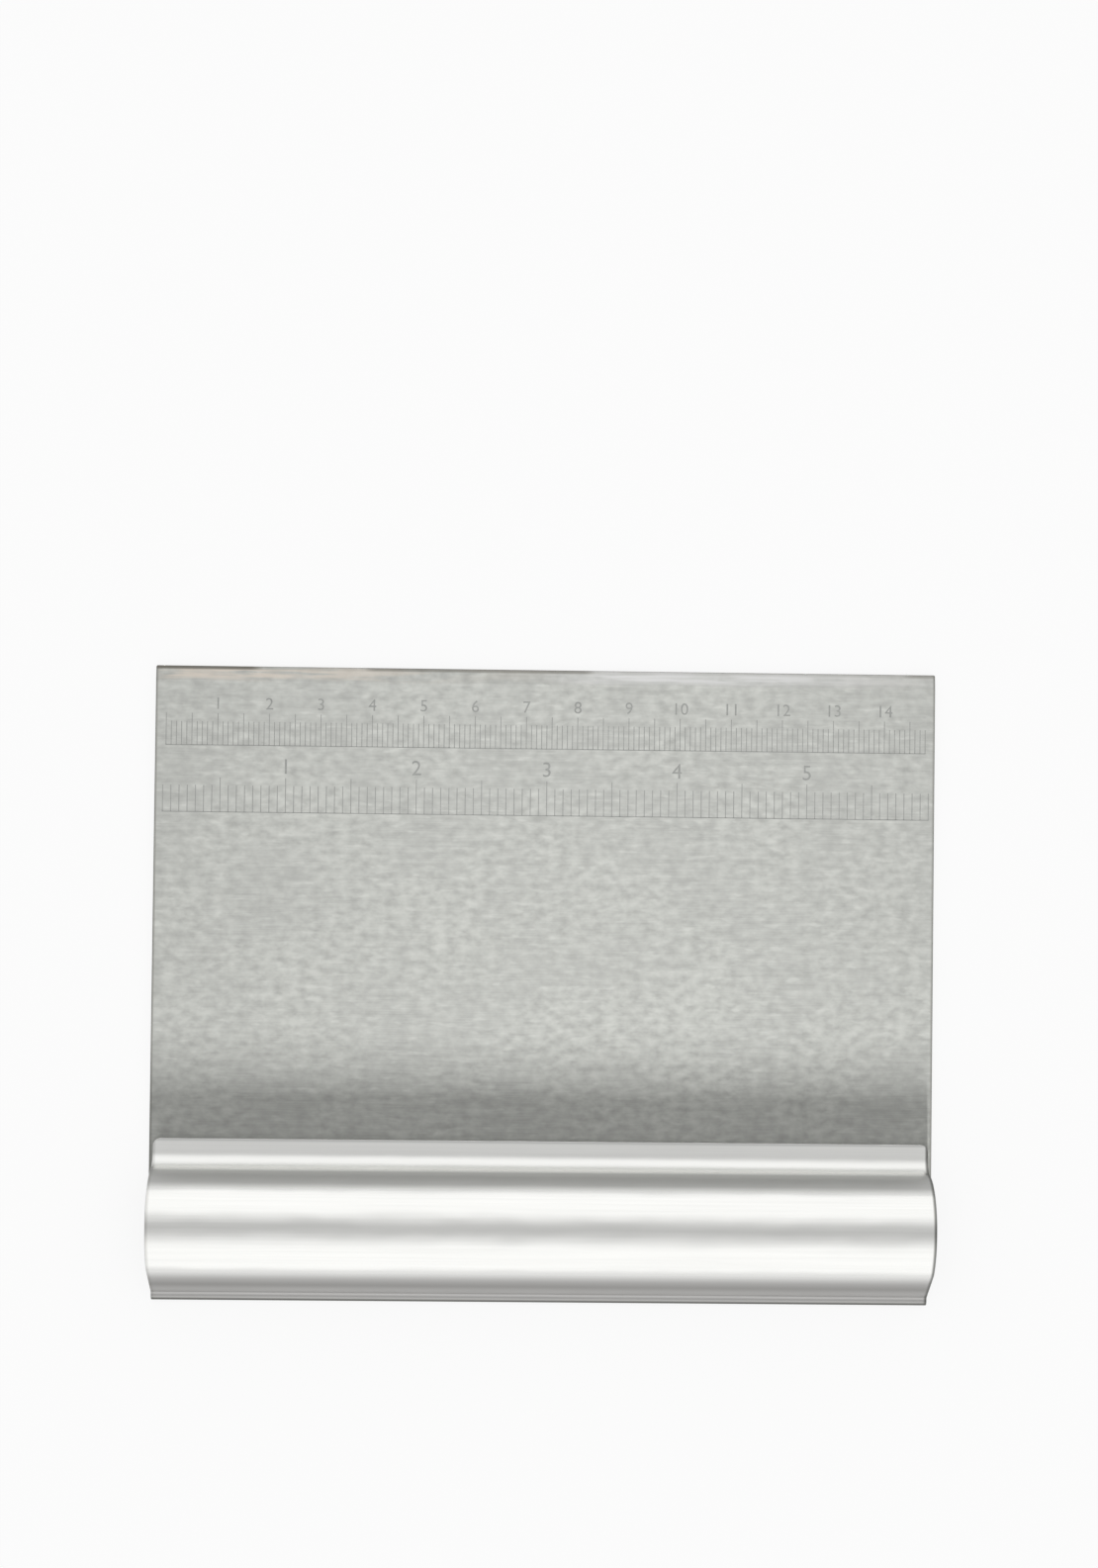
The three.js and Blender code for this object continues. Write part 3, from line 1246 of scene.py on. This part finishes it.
def weld_finish() -> SteelFinish:
    """The scaled grey of weld metal."""
    return SteelFinish(
        name="weld steel",
        tone=(0.5, 0.49, 0.47),
        dark_tone=(0.31, 0.3, 0.285),
        roughness=(0.5, 0.62),
        anisotropy=0.0,
        grain_along=2500.0,
        grain_across=2500.0,
        line_depth=0.01 * MM,
    )


def dress_welds() -> list[str]:
    """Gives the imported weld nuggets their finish.

    Returns:
        The names of the nuggets.
    """
    material = weld_finish().material()
    names = sorted(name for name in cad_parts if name.startswith("spot_weld"))
    for name in names:
        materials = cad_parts[name].data.materials
        materials.clear()
        materials.append(material)
    return names


def ruler(blade: Blade) -> tuple[RulerScale, RulerScale]:
    """The two scales of the blade's ruler.

    Args:
        blade: The blade that carries them.

    Returns:
        The centimetre scale and, under it, the inch scale.
    """
    edge = blade.place()[1]
    left = -blade.width / 2
    centimetres = RulerScale(
        blade=blade,
        unit=Unit.CENTIMETRE,
        name="centimetre_scale",
        zero=left + 2.1 * MM,
        base_line=edge - 15.4 * MM,
        parts=10,
        first_part=0,
        last_part=148,
        last_numeral=14,
        short_tick=4.6 * MM,
        long_tick=6.2 * MM,
        numeral_line=edge - 7.4 * MM,
        numeral_height=2.3 * MM,
    )
    inches = RulerScale(
        blade=blade,
        unit=Unit.INCH,
        name="inch_scale",
        zero=left,
        base_line=edge - 28.4 * MM,
        parts=16,
        first_part=1,
        last_part=95,
        last_numeral=5,
        short_tick=5.2 * MM,
        long_tick=6.7 * MM,
        numeral_line=edge - 19.6 * MM,
        numeral_height=2.9 * MM,
    )
    return centimetres, inches


def main() -> None:
    """Builds the scraper and its studio."""
    logging.basicConfig(level=logging.INFO, format="%(name)s: %(message)s")
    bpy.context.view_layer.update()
    blade = Blade()
    brushed = [blade.build()]
    log.info("made %s", FoldedGrip().build().name)
    etched = etched_finish().material()
    brushed += [scale.build(etched) for scale in ruler(blade)]
    for piece in brushed:
        log.info("made %s", piece.name)
    log.info("dressed %s", ", ".join(dress_welds()))
    Studio().build(brushed)


if __name__ == "__main__":
    main()
